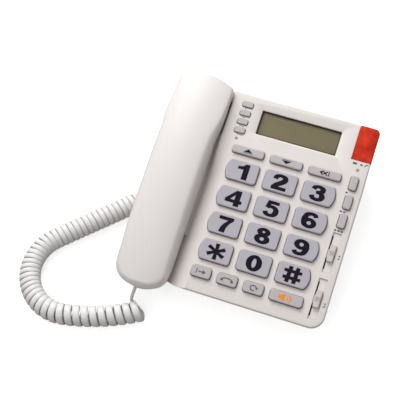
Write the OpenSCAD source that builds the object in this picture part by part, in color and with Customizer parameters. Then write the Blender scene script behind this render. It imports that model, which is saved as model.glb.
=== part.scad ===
// Corded desk telephone with large keys, a display and a handset on a coiled cord.
// Millimetres, +Z up, +X to the right of a person using it, +Y away from them.
// The origin is the middle of the base's flat underside.
// Many parts lie on the sloping keypad panel. on_panel() puts them there: inside it
// x runs across the panel, y up the slope from its front edge and z out of its face.

/* [Base] */
// Width of the base
base_w = 196; // [194:1:200]
// Depth of the base, front to back
base_d = 194; // [192:1:198]
// Height of the panel's front edge above the underside
front_h = 28; // [27:0.5:32]
// Slope of the keypad panel in degrees
tilt = 12; // [11:0.5:13]
// Wall thickness of the moulded shells
wall = 2.5; // [2.2:0.1:2.8]
// Height of the seam between the upper and lower shells
seam_z = 8; // [7.5:0.5:8.5]

/* [Keys] */
// Width of a number key
key_w = 31; // [28:0.5:32]
// Height of a number key, up the slope
key_h = 19.5; // [17:0.5:21]
// Distance between number key columns
key_pitch_x = 37.5; // [36:0.5:38]
// Distance between number key rows
key_pitch_y = 26.8; // [25:0.1:27]
// How far the keys stand out of the panel
key_rise = 3.2; // [2.5:0.1:4]
// How far a key is pressed
key_travel = 1.8; // [1:0.1:2]
// Gap round each key in the panel
key_gap = 0.4; // [0.3:0.05:0.6]

/* [Display] */
// Width of the visible display
display_w = 77; // [70:1:78]
// Height of the visible display
display_h = 23; // [20:0.5:24]

/* [Handset] */
// Length of the handset
handset_l = 215; // [212:1:218]
// Half of the grip's width
grip_hw = 25.3; // [24:0.1:26]
// Half of the handset's width at the ear end
ear_hw = 28; // [27:0.1:29]
// Height of the handset's back above the panel
crown_h = 22; // [20:0.5:24]
// How far the handset can be lifted off its cradle
lift_travel = 80; // [40:5:100]

/* [Cord] */
// Outer diameter of the coiled cord
coil_d = 20.5; // [18:0.5:21]
// Diameter of the straight leads at the cord's ends
lead_d = 3.8; // [3:0.1:5]

/* [Hidden] */
$fn = 48;
eps = 0.01;

// Colours
case_white = [0.93, 0.91, 0.89];
key_grey = [0.72, 0.71, 0.74];
signal_red = [0.78, 0.16, 0.10];
board_green = [0.12, 0.35, 0.20];
steel = [0.75, 0.75, 0.77];
brass_gold = [0.85, 0.70, 0.35];
rubber_dark = [0.20, 0.20, 0.21];
part_black = [0.10, 0.10, 0.11];
cord_white = [0.88, 0.88, 0.87];

// Base proportions
slope_l = base_d / cos(tilt);   // length of the panel up the slope
rim_h = 4;                      // upright band round the panel's edge
underside_t = 2.2;              // thickness of the lower shell's floor
foot_inset = 9;                 // how far the underside sits in from the rim at the sides
chin_inset = 13;                // the same at the front, where the wall slopes back
rear_inset = 6;                 // the same at the rear
feet_drop = 2;                  // how far the rubber feet stand below the underside

// Cradle, on the left of the panel
cradle_x = base_w / 2 - 172.5;  // centre line of the handset
roll_c = [cradle_x + 56, -37];  // middle of the curve where the panel rolls into the cradle
roll_r = 39.4;                  // radius of that curve
cradle_mid = 11;                // depth of the cradle floor under the grip
cradle_front = 16.2;            // depth of the floor under the mouthpiece
cradle_ear = 22.2;              // depth of the well under the earpiece
front_zone_l = 50;              // length of the mouthpiece floor
ear_well = [cradle_x - 18.9, cradle_x + 19.5, 150, 193.5]; // x0, x1, y0, y1
ear_wall_x = cradle_x + 28.8;                              // wall beside the earpiece
ear_slit = [cradle_x, ear_wall_x, 156, 196];
roll_end = 146;                 // where the roll gives way to that wall

// Keypad positions on the panel
col_x = [for (i = [-1:1]) 22.2 + i * key_pitch_x];
row_y = [for (i = [0:3]) 41.1 + i * key_pitch_y];
small_key_w = 19;
low_key_h = 10.2;
low_row_y = 19.1;
low_key_x = [-22, 3.3, 28.5];
nav_key_h = 7.6;
nav_row_y = 142;
memory_x = 87.7;
memory_y = [140.4, 121.6, 102.8];
memory_size = [7.2, 13.6];
menu_x = -30;
menu_y = [187.2, 178.3, 169.5, 160.6];
menu_size = [10.2, 4.8];
slot_x = 87;
slot_y = [72, 27.4];
slot_size = [8.2, 38.8];
slit_dx = -3.3;                 // slit in a slider's recess, left of its middle
knob_size = [6, 15.6];
knob_h = 2.4;
slider_y = [71, 27];
flange = 1.2;                   // lip that keeps a key behind the panel
key_foot = 5;                   // depth of the key's lower face below the panel
board_top = 9;                  // depth of the circuit board's upper face
board_t = 1.6;
status_light = [[-30.8, 152.4], [87.7, 154.2]];

// Display
display_c = [24.3, 174.5];
frame_c = [24.3, 175.7];
frame_size = [display_w + 9.5, display_h + 7.5];

// Red indicator in the rear right corner
lens_x0 = 78.6;
lens_y0 = 163.2;
lens_depth = 14;

// Fastenings
post_at = [[-55, -70], [79.5, -70], [-40, 80], [72, 82]];
post_r = 2.8;
board_post_at = [[-38, 30], [79.9, 49.8], [-38, 130], [72, 155]];
feet_at = [[-74, -68], [66, -68], [-74, 68], [66, 66]];

// Underside openings
battery_c = [6, -22];
battery_size = [38, 49.5];
door_travel = 4;
speaker_c = [42, 46];
speaker_r = 25;

module on_panel() {
    translate([0, -base_d / 2, front_h]) rotate([tilt, 0, 0]) children();
}

// Height above the underside of the panel's face over a given depth y
function panel_z(y) = front_h + (y + base_d / 2) * tan(tilt);

// Points along an arc, anticlockwise from angle a0 to a1
function arc(c, r, a0, a1, n = 8) =
    [for (i = [0:n]) let (a = a0 + (a1 - a0) * i / n) c + r * [cos(a), sin(a)]];

// Rectangle between two corners with a radius for each corner:
// front right, rear right, rear left, front left
function round_outline(x0, x1, y0, y1, r) = concat(
    arc([x1 - r[0], y0 + r[0]], r[0], -90, 0),
    arc([x1 - r[1], y1 - r[1]], r[1], 0, 90),
    arc([x0 + r[2], y1 - r[2]], r[2], 90, 180),
    arc([x0 + r[3], y0 + r[3]], r[3], 180, 270));

// Rounded rectangle, centred on the origin
module round_rect(size, r) {
    square([size[0] - 2 * r, size[1]], center = true);
    square([size[0], size[1] - 2 * r], center = true);
    for (x = [-1, 1], y = [-1, 1])
        translate([x * (size[0] / 2 - r), y * (size[1] / 2 - r)]) circle(r);
}

module tube(r_out, r_in, h) {
    difference() {
        cylinder(r = r_out, h = h);
        translate([0, 0, -1]) cylinder(r = r_in, h = h + 2);
    }
}

// ---------------------------------------------------------------- base shells

// The base as a solid, drawn in by t on every side and ending z0 above the underside
module base_body(t = 0, z0 = 0) {
    hull() {
        on_panel() translate([0, 0, -rim_h - t]) linear_extrude(rim_h)
            polygon(round_outline(-base_w / 2 + t, base_w / 2 - t, t, slope_l - t,
                [max(13 - t, 1), max(5 - t, 1), max(8 - t, 1), max(14 - t, 1)]));
        translate([0, 0, z0]) linear_extrude(0.5)
            polygon(round_outline(-base_w / 2 + foot_inset + t, base_w / 2 - foot_inset - t,
                -base_d / 2 + chin_inset + t, base_d / 2 - rear_inset - t, [12, 12, 12, 12]));
    }
}

// Space that the handset's cradle takes out of the base, grown by g
module cradle_cut(g = 0) {
    // the panel's edge rolls down into this part
    module rolled(depth, y0, y1) {
        translate([0, y1 + g, 0]) rotate([90, 0, 0]) linear_extrude(y1 - y0 + 2 * g)
            difference() {
                translate([-base_w, -depth - g]) square([base_w + roll_c[0], depth + g + 60]);
                translate(roll_c) circle(r = roll_r - g, $fn = 144);
            }
    }
    on_panel() {
        rolled(cradle_mid, -30, roll_end);
        rolled(cradle_front, -30, front_zone_l);
        translate([-base_w, roll_end - 1 - g, -cradle_mid - g])
            cube([base_w + ear_wall_x + g, slope_l + 40 - roll_end, cradle_mid + g + 50]);
        for (w = [ear_well, ear_slit]) translate([w[0] - g, w[2] - g, -cradle_ear - g])
            cube([w[1] - w[0] + 2 * g, w[3] - w[2] + 2 * g, cradle_ear + g + 5]);
    }
}

// Cuts the shape of a key, or of its hole, on the panel. side bulges a left (-1) or right (1) edge
module key_outline(size, r, side = 0, grow = 0) {
    bulge_r = 17;
    intersection() {
        round_rect([size[0] + 2 * grow, size[1] + 2 * grow], r + grow);
        if (side != 0)
            translate([side * (size[0] / 2 - bulge_r), 0]) {
                circle(r = bulge_r + grow, $fn = 96);
                translate([-side * 60, 0]) square([120, 60], center = true);
            }
    }
}

module upper_posts(r, z_from) {
    for (p = post_at)
        translate([p[0], p[1], z_from]) cylinder(r = r, h = panel_z(p[1]) - 1.3 - z_from);
}

module key_holes() {
    module hole(x, y, size, r, side = 0)
        translate([x, y, -wall - 3]) linear_extrude(wall + 8)
            key_outline(size, r, side, key_gap);
    for (row = [0:3], col = [0:2])
        hole(col_x[col], row_y[row], [key_w, key_h], 3, col - 1);
    for (x = col_x) hole(x, nav_row_y, [key_w, nav_key_h], 2);
    for (x = low_key_x) hole(x, low_row_y, [small_key_w, low_key_h], 2.5);
    hole(col_x[2], low_row_y, [key_w, low_key_h], 2.5);
    for (y = memory_y) hole(memory_x, y, memory_size, 2);
    for (y = menu_y) hole(menu_x, y, menu_size, 1.2);
}

module slider_slots() {
    for (y = slot_y)
        translate([slot_x, y, 0]) {
            translate([0, 0, -1.4]) linear_extrude(4) round_rect(slot_size, 0.8);
            translate([slit_dx, 0, -wall - 3]) linear_extrude(wall + 4)
                square([1.2, slot_size[1] - 6], center = true);
        }
}

module display_opening() {
    translate([frame_c[0], frame_c[1], -1.2]) linear_extrude(4) round_rect(frame_size, 2);
    translate([display_c[0], display_c[1], -wall - 3]) linear_extrude(wall + 4)
        round_rect([display_w + 3, display_h + 3], 1);
}

module hook_slot(grow) {
    translate([cradle_x, 128, -cradle_mid - wall - 3]) linear_extrude(wall + 6)
        round_rect([9 + 2 * grow, 16 + 2 * grow], 1.5);
}

// Openings for the handset jack in the left side and the line jack in the rear
jack_y = 10;
jack_z = 15.5;
line_x = -20;

module jack_window() {
    translate([-base_w / 2 - 5, jack_y - 5.4, jack_z - 4.4]) cube([30, 10.8, 8.8]);
}

module line_window() {
    translate([line_x - 7, base_d / 2 - 25, 13]) cube([14, 40, 12]);
}

// Middle of the microphone's hole in the front wall, z out of the wall
module mic_place() {
    translate([30, -91.1, 14.2]) rotate([117.3, 0, 0]) children();
}

module upper_shell() {
    color(case_white) difference() {
        union() {
            difference() {
                base_body();
                difference() {
                    base_body(wall, -1);
                    cradle_cut(wall);
                }
                translate([-base_w, -base_d, -20]) cube([2 * base_w, 2 * base_d, 20 + seam_z]);
            }
            upper_posts(post_r, 5.2);
            on_panel() {
                for (p = board_post_at)
                    translate([p[0], p[1], -board_top]) cylinder(r = 3, h = board_top - 1.5);
                // bracket for the hook switch
                for (x = [-10, 8.2]) translate([cradle_x + x, 117, -cradle_mid - wall - 14.5])
                    cube([1.8, 22, 15]);
            }
        }
        cradle_cut();
        for (p = post_at) translate([p[0], p[1], 4]) cylinder(r = 1.25, h = 11.9);
        jack_window();
        line_window();
        mic_place() translate([0, 0, -4]) cylinder(r = 0.7, h = 8);
        on_panel() {
            key_holes();
            slider_slots();
            display_opening();
            hook_slot(0.5);
            translate([lens_x0, lens_y0, -lens_depth]) cube([60, 60, 40]);
            for (p = status_light) translate([p[0], p[1], -8]) cylinder(r = 1.5, h = 12);
            for (p = board_post_at)
                translate([p[0], p[1], -board_top - 1]) cylinder(r = 0.9, h = 5.4);
        }
    }
}

// Bay that holds the three cells, open below
module battery_bay() {
    translate([battery_c[0] - battery_size[0] / 2, battery_c[1] - battery_size[1] / 2, -1])
        cube([battery_size[0], battery_size[1], 15]);
}

// Sunk area that the battery door lies in, longer than the door so that it can slide
module door_recess() {
    translate([battery_c[0] - battery_size[0] / 2 - 3,
               battery_c[1] - battery_size[1] / 2 - 3 - door_travel, -1])
        cube([battery_size[0] + 6, battery_size[1] + 6 + door_travel, 1 + 1.4]);
}

module lower_shell() {
    color(case_white) difference() {
        union() {
            difference() {
                base_body();
                base_body(wall, underside_t);
                translate([-base_w, -base_d, seam_z]) cube([2 * base_w, 2 * base_d, 90]);
            }
            // lip that centres the upper shell
            intersection() {
                difference() {
                    base_body(wall + 0.2, 0);
                    base_body(wall + 1.5, 0);
                }
                translate([-base_w, -base_d, underside_t]) cube([2 * base_w, 2 * base_d,
                    seam_z + 1.2 - underside_t]);
            }
            for (p = post_at) translate([p[0], p[1], 0.5]) cylinder(r = 4.6, h = 4.6);
            translate([battery_c[0] - battery_size[0] / 2 - 2,
                       battery_c[1] - battery_size[1] / 2 - 2, 0.5])
                cube([battery_size[0] + 4, battery_size[1] + 4, 15]);
            translate([battery_c[0] - battery_size[0] / 2 - 5,
                       battery_c[1] - battery_size[1] / 2 - 5 - door_travel, 0.5])
                cube([battery_size[0] + 10, battery_size[1] + 10 + door_travel, 3.4]);
        }
        battery_bay();
        door_recess();
        for (p = post_at) translate([p[0], p[1], -1]) {
            cylinder(r = 1.6, h = 10);
            cylinder(r = 3.2, h = 3.6);
        }
        for (p = feet_at) translate([p[0], p[1], -1]) cylinder(r = 6.2, h = 1.8);
        translate([speaker_c[0], speaker_c[1], -1]) for (i = [-3:3])
            translate([i * 5.5, 0, 0]) linear_extrude(6)
                round_rect([2.2, 2 * sqrt(20 * 20 - pow(i * 5.5, 2))], 1);
    }
}

module rubber_feet() {
    color(rubber_dark) for (p = feet_at)
        translate([p[0], p[1], -feet_drop]) cylinder(r = 6, h = feet_drop + 0.75);
}

module housing_screws() {
    color(steel) for (p = post_at) translate([p[0], p[1], 0]) difference() {
        union() {
            translate([0, 0, 0.6]) cylinder(r = 2.9, h = 1.9);
            translate([0, 0, 2.4]) cylinder(r = 1.2, h = 12.6);
        }
        for (a = [0, 90]) translate([0, 0, 0.5]) rotate([0, 0, a])
            translate([-1.7, -0.35, 0]) cube([3.4, 0.7, 1.1]);
    }
}

// ---------------------------------------------------------------- inside the base

// Where a screw post passes the circuit board, in the panel's frame
function post_on_board(p) =
    [p[0], (p[1] + base_d / 2 - board_top * sin(tilt)) / cos(tilt), -20];

module main_board() {
    color(board_green) on_panel() difference() {
        translate([0, 0, -board_top - board_t]) linear_extrude(board_t)
            polygon(round_outline(-41, 92, 8.5, 192, [9, 2, 2, 2]));
        for (p = board_post_at)
            translate([p[0], p[1], -20]) cylinder(r = 1.3, h = 30);
        for (p = post_at) translate(post_on_board(p)) cylinder(r = post_r + 1, h = 30);
    }
}

module board_screws() {
    color(steel) on_panel() for (p = board_post_at)
        translate([p[0], p[1], -board_top - board_t - 1.6]) {
            cylinder(r = 2.2, h = 1.55);
            cylinder(r = 0.85, h = 1.6 + board_t + 4);
        }
}

// Silicone mat with a dome under each key
module key_membrane() {
    module dome(x, y, r) {
        translate([x, y, -board_top + 0.6]) cylinder(r1 = r, r2 = r * 0.8, h = 1.4);
    }
    color([0.85, 0.85, 0.83]) on_panel() {
        difference() {
            translate([0, 0, -board_top]) linear_extrude(1) {
                polygon(round_outline(-35, 92, 10.5, 149.5, [4, 4, 4, 4]));
                polygon(round_outline(-35, -23.5, 140, 191, [1, 1, 1, 1]));
            }
            for (p = board_post_at)
                translate([p[0], p[1], -board_top - 1]) cylinder(r = 3.4, h = 5);
            for (p = post_at) translate(post_on_board(p)) cylinder(r = post_r + 1, h = 30);
            translate([slot_x - 5.5, 5, -board_top - 1]) cube([20, 89.5, 5]);
        }
        for (row = [0:3], x = col_x) dome(x, row_y[row], 5);
        for (x = col_x) dome(x, nav_row_y, 2.8);
        for (x = concat(low_key_x, [col_x[2]])) dome(x, low_row_y, 3.5);
        for (y = memory_y) dome(memory_x, y, 2.4);
        for (y = menu_y) dome(menu_x, y, 2);
    }
}

module lcd_panel() {
    color([0.47, 0.46, 0.36]) on_panel() translate([display_c[0], display_c[1], -board_top + 0.05])
        linear_extrude(4.85) square([display_w + 7, display_h + 6], center = true);
}

module display_window() {
    color([0.75, 0.76, 0.70, 0.5]) on_panel() {
        translate([display_c[0], display_c[1], -wall - 1.3]) linear_extrude(1.2)
            square([display_w + 7, display_h + 6], center = true);
        translate([display_c[0], display_c[1], -wall - 0.2]) linear_extrude(1)
            round_rect([display_w + 2.6, display_h + 2.6], 0.9);
    }
}

module indicator_lens() {
    gap = 0.25;
    color(signal_red) intersection() {
        difference() {
            base_body();
            base_body(2, -1);
        }
        on_panel() translate([lens_x0 + gap, lens_y0 + gap, -lens_depth + gap])
            cube([60, 60, 40]);
    }
}

module indicator_led() {
    color([0.95, 0.75, 0.70]) on_panel() translate([88, 178, -board_top + 0.05]) {
        cylinder(r = 3, h = 1);
        cylinder(r = 2.5, h = 3.5);
        translate([0, 0, 3.5]) sphere(r = 2.5);
    }
}

module status_lights() {
    color([0.55, 0.50, 0.48]) on_panel() for (p = status_light)
        translate([p[0], p[1], -7.9]) {
            cylinder(r = 1.4, h = 8.1);
            cylinder(r = 2, h = 1);
        }
}

module loudspeaker() {
    color(part_black) translate([speaker_c[0], speaker_c[1], underside_t + 0.1]) {
        tube(speaker_r, speaker_r - 3, 2);
        translate([0, 0, 2]) cylinder(r1 = speaker_r, r2 = 11, h = 7);
        translate([0, 0, 8.9]) cylinder(r = 12, h = 5);
    }
}

module handsfree_mic() {
    color(steel) mic_place() translate([0, 0, -4.1]) cylinder(r = 2.2, h = 1.8);
}

module line_jack() {
    color(part_black) difference() {
        translate([line_x - 6.8, base_d / 2 - 22, 13.2]) cube([13.6, 17, 11.6]);
        translate([line_x - 5, base_d / 2 - 18, 15]) cube([10, 20, 7]);
        translate([line_x - 2, base_d / 2 - 18, 14.2]) cube([4, 20, 2]);
    }
    color(brass_gold) for (i = [-1.5:1:1.5])
        translate([line_x + i * 1.3 - 0.25, base_d / 2 - 18.5, 20.2]) cube([0.5, 9, 0.6]);
}

module handset_jack() {
    color(part_black) difference() {
        translate([-base_w / 2 + 6.8, jack_y - 5.2, jack_z - 4.2]) cube([14.7, 10.4, 8.4]);
        translate([-base_w / 2 + 5, jack_y - 4.1, jack_z - 3.3]) cube([14, 8.2, 6.6]);
    }
}

module batteries() {
    for (i = [-1:1])
        translate([battery_c[0] + i * 11.5, battery_c[1] - battery_size[1] / 2 + 4.5, 8.2])
            rotate([-90, 0, 0]) {
                color([0.25, 0.28, 0.32]) cylinder(r = 5.2, h = 42.8);
                color(steel) translate([0, 0, 42.7]) cylinder(r = 1.9, h = 1.5);
            }
}

module battery_contacts() {
    color(steel) for (i = [-1:1])
        translate([battery_c[0] + i * 11.5, battery_c[1] - battery_size[1] / 2, 0]) {
            translate([-4, 0.1, 4]) cube([8, 0.4, 8.5]);
            translate([0, 0.45, 8.2]) rotate([-90, 0, 0]) for (k = [0:2])
                translate([0, 0, k * 1.3]) tube(3.6 - k * 0.7, 2.7 - k * 0.7, 1.31);
            translate([-4, battery_size[1] - 0.5, 4]) cube([8, 0.4, 8.5]);
        }
}

module battery_door() {
    color(case_white) {
        translate([battery_c[0] - battery_size[0] / 2 - 2.7,
                   battery_c[1] - battery_size[1] / 2 - 2.7, 0])
            cube([battery_size[0] + 5.4, battery_size[1] + 5.4, 1.3]);
        translate([battery_c[0] - 8, battery_c[1] + battery_size[1] / 2 - 2.2, 1])
            cube([16, 1.4, 1.6]);
        for (i = [0:3]) translate([battery_c[0] - 9, battery_c[1] + 12 + i * 2.5, -0.5])
            cube([18, 1, 0.6]);
    }
}

module hook_switch() {
    color(part_black) on_panel() translate([cradle_x, 128, -cradle_mid - wall - 14.5]) {
        translate([-8, -11, 0]) cube([16, 22, 5]);
        cylinder(r = 1.8, h = 6.8);
    }
}

module hook_plunger() {
    color(case_white) on_panel() translate([cradle_x, 128, 0]) {
        translate([0, 0, -cradle_mid - wall - 2.2]) linear_extrude(wall + 9.8)
            round_rect([9, 16], 1.5);
        translate([0, 0, -cradle_mid - wall - 7.2]) linear_extrude(1.6)
            round_rect([13, 20], 1.5);
        translate([0, 0, -cradle_mid - wall - 6]) cylinder(r = 3, h = 5);
    }
}

module slide_pots() {
    color(part_black) on_panel() for (y = slot_y) translate([slot_x - 4.4, y - 20, -board_top])
        difference() {
            cube([7, 40, 2.4]);
            translate([0.4, 2, 0.6]) cube([1.4, 36, 3]);
        }
}

// ---------------------------------------------------------------- keys and sliders

// One key: a cap through the panel and a lip behind it
module key(x, y, size, r = 3, side = 0) {
    color(key_grey) on_panel() translate([x, y, -key_foot]) {
        linear_extrude(key_foot + key_rise) key_outline(size, r, side);
        linear_extrude(1.6) key_outline(size, r, side, flange);
    }
}

// A small key beside the display. Its lip runs along its long edges only
module menu_key(i) {
    color(key_grey) on_panel() translate([menu_x, menu_y[i], -key_foot - 0.4]) {
        linear_extrude(key_foot + 2) round_rect(menu_size, 1.2);
        linear_extrude(1.2) round_rect([menu_size[0], menu_size[1] + 2 * flange], 1.2);
    }
}

module number_key(col, row) key(col_x[col], row_y[row], [key_w, key_h], 3, col - 1);
module nav_key(col) key(col_x[col], nav_row_y, [key_w, nav_key_h], 2);
module low_key(i) key(low_key_x[i], low_row_y, [small_key_w, low_key_h], 2.5);
module speaker_key() key(col_x[2], low_row_y, [key_w, low_key_h], 2.5);
module memory_key(i) key(memory_x, memory_y[i], memory_size, 2);

module slider(i) {
    color(key_grey) on_panel() translate([slot_x, slider_y[i], 0]) {
        translate([0, 0, -1.3]) linear_extrude(1.3 + knob_h) round_rect(knob_size, 0.8);
        translate([-3.8, -4, -1.3]) cube([3, 8, 0.8]);
        translate([slit_dx - 0.4, -4, -board_top + 0.9]) cube([0.8, 8, board_top - 1.5]);
    }
}

// ---------------------------------------------------------------- handset

front_end = -12;                          // front tip of the handset on the panel's slope
rear_end = front_end + handset_l;
back_r = 526;                             // radius of the back's long curve
back_y = 108;                             // where the back is highest
crown_r = 70;                             // radius of the back across the handset
bulge_r = 146;                            // radius of the ear end's sides
ear_y = 172;                              // middle of the ear end's bulge
end_r = 68;                               // radius of the handset's rear edge
split_h = 3;                              // height of the seam between the handset's shells
mouth_low = -16;                          // lowest faces of the mouthpiece, grip and earpiece
grip_low = -3;
ear_low = -22;
socket_dx = -5;                           // handset socket, left of the middle
cup_end = 184;                            // where the earpiece's lower face ends

// Plan of the handset, drawn in by t
module handset_plan(t) {
    intersection() {
        union() {
            translate([0, front_end + grip_hw]) circle(r = grip_hw - t, $fn = 96);
            translate([-grip_hw + t, front_end + grip_hw])
                square([2 * (grip_hw - t), handset_l - grip_hw]);
            intersection() {
                translate([bulge_r - ear_hw, ear_y]) circle(r = bulge_r - t, $fn = 200);
                translate([-bulge_r + ear_hw, ear_y]) circle(r = bulge_r - t, $fn = 200);
                translate([-40, ear_y - 40]) square([80, 90]);
            }
        }
        union() {
            translate([0, rear_end - end_r]) circle(r = end_r - t, $fn = 96);
            translate([-60, -60]) square([120, rear_end - end_r + 60]);
        }
    }
}

// Back of the handset: a band curved along and across, above height z0
module handset_back(t) {
    translate([0, back_y, crown_h - back_r]) rotate([90, 0, 90]) rotate([0, 0, 60])
        rotate_extrude(angle = 60, $fn = 360) intersection() {
            translate([back_r - crown_r, 0]) circle(r = crown_r - t, $fn = 128);
            translate([back_r - 60, -30 + t]) square([80, 60 - 2 * t]);
        }
}

// Side view of the handset, drawn in by t: mouthpiece, grip and earpiece
module handset_side(t) {
    ramp = 8;
    rotate([90, 0, 90]) translate([0, 0, -35 + t]) linear_extrude(70 - 2 * t) polygon([
        [front_end - 5 + t, 60], [front_end - 5 + t, -4 + t / 2],
        [front_end + 1 + t, -4 + t / 2], [front_end + 12 + t / 2, mouth_low + t],
        [34 - t, mouth_low + t], [34 + ramp - t, grip_low + t],
        [148 + t, grip_low + t], [148 + ramp + t, ear_low + t],
        [cup_end - t, ear_low + t], [cup_end + 9 - t, -10.3 + t],
        [rear_end + 5 - t, -7 + t], [rear_end + 5 - t, 60]]);
}

// The handset seen from its end. It narrows below its seam, and again at its two cups
module handset_taper(t) {
    side = [[35, 60], [35, split_h], [ear_hw + 0.2 - t, split_h], [22 - t, -10 + 0.8 * t],
        [18.3 - t, -10.6 + 0.8 * t], [17.4 - t, ear_low - 8]];
    translate([0, 260, 0]) rotate([90, 0, 0]) linear_extrude(300)
        polygon(concat(side, [for (i = [5:-1:0]) [-side[i][0], side[i][1]]]));
}

module handset_solid(t = 0) {
    intersection() {
        translate([0, 0, -60]) linear_extrude(120) handset_plan(t);
        handset_back(t);
        handset_side(t);
        handset_taper(t);
    }
}

module on_handset() {
    on_panel() translate([cradle_x, 0, 0]) children();
}

module handset_outer_shell() {
    color(case_white) on_handset() difference() {
        union() {
            difference() {
                handset_solid();
                handset_solid(2);
            }
            for (y = [55, 140]) translate([0, y, split_h])
                cylinder(r = 3.2, h = crown_h - pow(y - back_y, 2) / (2 * back_r) - split_h - 1);
        }
        translate([-60, -60, -60]) cube([120, 320, 60 + split_h + 0.05]);
        for (y = [55, 140]) translate([0, y, 0]) cylinder(r = 1.45, h = 13);
    }
}

module handset_inner_shell() {
    color(case_white) on_handset() difference() {
        union() {
            difference() {
                handset_solid();
                handset_solid(2);
            }
            for (y = [55, 140]) translate([0, y, grip_low + 0.5])
                cylinder(r = 3.4, h = split_h - grip_low - 0.7);
        }
        translate([-60, -60, split_h - 0.05]) cube([120, 320, 60]);
        for (y = [55, 140]) translate([0, y, grip_low - 1]) {
            cylinder(r = 1.5, h = 12);
            cylinder(r = 2.9, h = 2.6);
        }
        // sound holes
        for (a = [0:60:300]) translate([6 * cos(a), 170 + 6 * sin(a), ear_low - 1])
            cylinder(r = 1.1, h = 5);
        translate([0, 170, ear_low - 1]) cylinder(r = 1.1, h = 5);
        for (x = [-4, 0, 4]) translate([x, 18, mouth_low - 1]) cylinder(r = 0.9, h = 5);
        socket_place() translate([-5.2, -4.4, -20]) cube([10.4, 8.8, 30]);
    }
}

// Socket frame on the handset's sloping front face, z out of the face
module socket_place() {
    translate([socket_dx, front_end + 6.5, -10]) rotate([132, 0, 0]) children();
}

module handset_socket() {
    color(part_black) on_handset() socket_place() difference() {
        translate([-5, -4.2, -14]) cube([10, 8.4, 13.5]);
        translate([-4, -3.2, -12]) cube([8, 6.4, 13]);
    }
}

// Clear plug on the cord's end, seated in a socket: z is the way it pulls out
module plug() {
    color([0.88, 0.89, 0.88]) {
        translate([-3.8, -3, -11]) cube([7.6, 6, 14]);
        translate([-2.6, -2.4, 3 - eps]) cube([5.2, 4.8, 2]);
    }
}

module handset_plug() {
    on_handset() socket_place() plug();
}

module base_plug() {
    translate([-base_w / 2 + 6.5, jack_y, jack_z]) rotate([90, 0, -90]) plug();
}

module handset_ballast() {
    color(steel) on_handset() translate([-9, 66, grip_low + 2.2]) cube([18, 60, 11]);
}

module receiver_capsule() {
    color(part_black) on_handset() translate([0, 170, ear_low + 2.2]) {
        cylinder(r = 11, h = 6);
        translate([0, 0, 6 - eps]) cylinder(r = 7.5, h = 3);
    }
}

module microphone_capsule() {
    color(steel) on_handset() translate([0, 18, mouth_low + 2.2]) cylinder(r = 4.8, h = 5);
}

module handset_screws() {
    color(steel) on_handset() for (y = [55, 140]) translate([0, y, grip_low + 0.4]) {
        cylinder(r = 2.6, h = 1.1);
        translate([0, 0, 1]) cylinder(r = 1.4, h = 14);
    }
}

// ---------------------------------------------------------------- cord

// The cord's run on the desk: a straight run from the base, a tight turn and a wide arc.
// An arc is [centre, radius, first angle, last angle, diameter], anticlockwise.
// The turn is a little thicker and the others end inside it.
coil_z = coil_d / 2 - feet_drop + 0.2;
turn_c = [-142, -109.4];
turn_r = 41.3;
far_r = 189;
run_l = 89;
cord_arcs = [
    [turn_c, turn_r, 134.8, 280, coil_d + 0.4],
    [turn_c - (far_r - turn_r) * [cos(280), sin(280)], far_r, 279.5, 302.8, coil_d]];

module ring_arc(c, r, a0, a1, d) {
    translate([c[0], c[1], 0]) rotate([0, 0, a0])
        rotate_extrude(angle = a1 - a0, $fn = 96) translate([r, 0]) circle(d = d, $fn = 24);
}

function arc_end(a, angle) = a[0] + a[1] * [cos(angle), sin(angle)];

// Straight round bar between two points
module bar(p, q, d) {
    v = q - p;
    l = norm(v);
    translate(p) rotate([0, acos(v[2] / l), atan2(v[1], v[0])]) cylinder(d = d, h = l, $fn = 24);
}

module coil_cord() {
    turn = arc_end(cord_arcs[0], 135);
    near = turn + run_l * [cos(45), sin(45)];
    inside = near - 3 * [cos(45), sin(45)];
    far = arc_end(cord_arcs[1], 301);
    color(cord_white) {
        translate([0, 0, coil_z]) for (a = cord_arcs) ring_arc(a[0], a[1], a[2], a[3], a[4]);
        bar([turn[0], turn[1], coil_z], [near[0], near[1], coil_z], coil_d);
        bar([inside[0], inside[1], coil_z], [-base_w / 2 - 0.4, jack_y - 0.5, jack_z], lead_d);
        bar([far[0], far[1], coil_z], [cradle_x + socket_dx, -106, 10], lead_d);
    }
}

// ---------------------------------------------------------------- parts by name

upper_shell();
lower_shell();
display_window();
lcd_panel();
main_board();
key_membrane();
indicator_lens();
indicator_led();
status_lights();
loudspeaker();
handsfree_mic();
line_jack();
handset_jack();
housing_screws();
board_screws();
rubber_feet();
batteries();
battery_contacts();
hook_switch();
slide_pots();
coil_cord();
base_plug();
hook_plunger();
battery_door();
number_key(0, 3);  // key_1
number_key(1, 3);  // key_2
number_key(2, 3);  // key_3
number_key(0, 2);  // key_4
number_key(1, 2);  // key_5
number_key(2, 2);  // key_6
number_key(0, 1);  // key_7
number_key(1, 1);  // key_8
number_key(2, 1);  // key_9
number_key(0, 0);  // key_star
number_key(1, 0);  // key_0
number_key(2, 0);  // key_hash
nav_key(0);  // key_up
nav_key(1);  // key_down
nav_key(2);  // key_delete
low_key(0);  // key_out
low_key(1);  // key_flash
low_key(2);  // key_redial
speaker_key();  // key_speaker
memory_key(0);  // memory_key_1
memory_key(1);  // memory_key_2
memory_key(2);  // memory_key_3
menu_key(0);  // menu_key_1
menu_key(1);  // menu_key_2
menu_key(2);  // menu_key_3
menu_key(3);  // menu_key_4
slider(0);  // volume_slider
slider(1);  // ringer_slider
handset_outer_shell();
handset_inner_shell();
handset_ballast();
receiver_capsule();
microphone_capsule();
handset_socket();
handset_plug();
handset_screws();
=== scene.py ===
from math import atan2, cos, degrees, exp, log, pi, radians, sin, sqrt

import bmesh
import bpy
from mathutils import Matrix, Vector


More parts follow.
